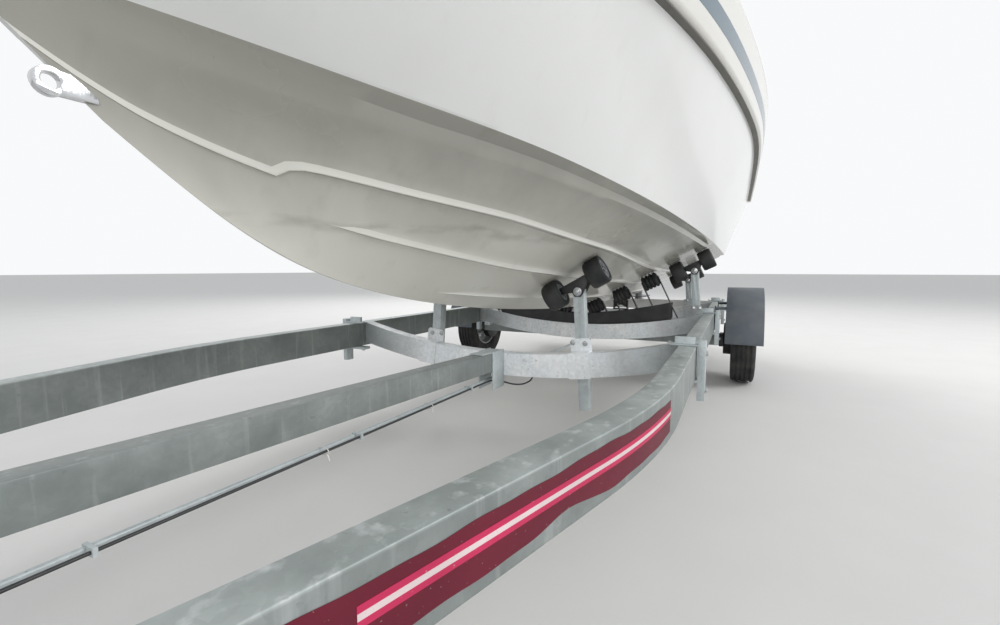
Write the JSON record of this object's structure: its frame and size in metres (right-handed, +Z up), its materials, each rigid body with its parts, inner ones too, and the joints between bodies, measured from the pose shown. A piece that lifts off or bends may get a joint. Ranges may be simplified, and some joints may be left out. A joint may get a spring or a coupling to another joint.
{
  "type": "speedboat on a roller trailer",
  "caption": "Open speedboat with a deep-vee planing hull, windscreen and tilting outboard engine, parked on a galvanised roller trailer with a jockey wheel.",
  "frame": {"origin": "on the floor, in the middle of the object's length and width", "axes": "+X forward to the coupling head, +Y to port, +Z up"},
  "size_m": [8.15, 2.21, 2.048],
  "materials": {
    "galvanised_steel": "hot-dip galvanised, dull spangle",
    "black_steel": "satin black paint",
    "black_rubber": "matt black rubber",
    "tyre_rubber": "matt road tyre",
    "wheel_steel": "silver wheel paint",
    "mudguard_plastic": "slate grey moulding",
    "lamp_plastic": "clear red lens",
    "board_paint": "white paint",
    "hull_gelcoat": "gloss gelcoat",
    "deck_gelcoat": "gloss gelcoat",
    "stainless_steel": "polished",
    "screen_glass": "clear",
    "seat_vinyl": "grained vinyl",
    "black_plastic": "satin moulding",
    "engine_paint": "dark gloss paint",
    "leg_paint": "dark painted casting",
    "engine_metal": "bare casting"
  },
  "bodies": {
    "boat_and_trailer": {"side_rail_port": "galvanised_steel", "side_rail_starboard": "galvanised_steel", "drawbar": "galvanised_steel", "crossmember_front": "galvanised_steel", "crossmember_middle": "galvanised_steel", "drawbar_bracket": "galvanised_steel", "post_clamps": "galvanised_steel", "crossmember_rear": "galvanised_steel", "rail_clamps": "galvanised_steel", "roller_posts": "galvanised_steel", "roller_rockers": "black_steel", "side_rollers": "black_rubber", "roller_brackets": "black_steel", "centre_rollers": "black_rubber", "axle_beam": "galvanised_steel", "trailing_arms": "galvanised_steel", "mudguard_port": "mudguard_plastic", "mudguard_starboard": "mudguard_plastic", "overrun_housing": "galvanised_steel", "brake_rod": "galvanised_steel", "wiring": "black_plastic", "wiring_plug": "black_plastic", "cleats": "stainless_steel", "jockey_clamp": "galvanised_steel", "jockey_sleeve": "galvanised_steel", "winch_post": "galvanised_steel", "winch_frame": "galvanised_steel", "bow_roller": "black_rubber", "lamp_board": "board_paint", "lamps": "lamp_plastic", "hull": "hull_gelcoat", "deck": "deck_gelcoat", "towing_eyes": "stainless_steel", "windscreen_frame": "stainless_steel", "windscreen_glass": "screen_glass", "dash": "black_plastic", "seat_bases": "deck_gelcoat", "seat_pads": "seat_vinyl", "bench_base": "deck_gelcoat", "bench_pads": "seat_vinyl", "transom_bracket": "leg_paint"},
    "wheel_port": {"tyre_port": "tyre_rubber", "rim_port": "wheel_steel"},
    "wheel_starboard": {"tyre_starboard": "tyre_rubber", "rim_starboard": "wheel_steel"},
    "coupling": {"coupling_head": "galvanised_steel"},
    "jockey_slide": {"jockey_slide": "galvanised_steel"},
    "jockey_fork": {"jockey_fork": "galvanised_steel"},
    "jockey_wheel": {"jockey_wheel": "black_rubber"},
    "winch_drum": {"winch_drum": "galvanised_steel"},
    "anchor_lid": {"anchor_lid": "deck_gelcoat"},
    "helm": {"steering_wheel": "black_plastic"},
    "swivel_bracket": {"swivel_bracket": "leg_paint"},
    "engine": {"engine_leg": "leg_paint", "engine_cowl": "engine_paint", "engine_block": "engine_metal"},
    "propeller": {"propeller": "black_steel"}
  },
  "joints": [
    {"name": "wheel_spin_port", "type": "hinge", "parent": "boat_and_trailer", "child": "wheel_port", "pos_m": [-1.975, 1, 0.288], "axis": [0, 1, 0], "continuous": true},
    {"name": "wheel_spin_starboard", "type": "hinge", "parent": "boat_and_trailer", "child": "wheel_starboard", "pos_m": [-1.975, -1, 0.288], "axis": [0, 1, 0], "continuous": true},
    {"name": "overrun_slide", "type": "slide", "parent": "boat_and_trailer", "child": "coupling", "axis": [1, 0, 0], "range_m": [-0.08, 0], "stiffness_N_per_m": 4000},
    {"name": "jockey_screw", "type": "slide", "parent": "boat_and_trailer", "child": "jockey_slide", "axis": [0, 0, 1], "range_m": [-0.15, 0.07]},
    {"name": "jockey_swivel", "type": "hinge", "parent": "jockey_slide", "child": "jockey_fork", "pos_m": [3.255, -0.19, 0.24], "axis": [0, 0, 1], "continuous": true},
    {"name": "jockey_spin", "type": "hinge", "parent": "jockey_fork", "child": "jockey_wheel", "pos_m": [3.21, -0.19, 0.1], "axis": [0, 1, 0], "continuous": true},
    {"name": "winch_turn", "type": "hinge", "parent": "boat_and_trailer", "child": "winch_drum", "pos_m": [1.86, 0, 1.01], "axis": [0, 1, 0], "continuous": true},
    {"name": "anchor_lid_hinge", "type": "hinge", "parent": "boat_and_trailer", "child": "anchor_lid", "pos_m": [0.52, 0, 1.69765], "axis": [0, -1, 0], "range_deg": [0, 100]},
    {"name": "helm_turn", "type": "hinge", "parent": "boat_and_trailer", "child": "helm", "pos_m": [-0.525, -0.4, 1.43], "axis": [-0.9397, 0, 0.342], "range_deg": [-540, 540]},
    {"name": "engine_tilt", "type": "hinge", "parent": "boat_and_trailer", "child": "swivel_bracket", "pos_m": [-3.40418, 0, 1.038], "axis": [0, 1, 0], "range_deg": [0, 65]},
    {"name": "engine_steer", "type": "hinge", "parent": "swivel_bracket", "child": "engine", "pos_m": [-3.55418, 0, 0.9], "axis": [0, 0, 1], "range_deg": [-30, 30]},
    {"name": "propeller_spin", "type": "hinge", "parent": "engine", "child": "propeller", "pos_m": [-3.86518, 0, 0.275], "axis": [1, 0, 0], "continuous": true}
  ],
  "couplings": [
    {"joint": "helm_turn", "follows": "engine_steer", "ratio": -18}
  ]
}
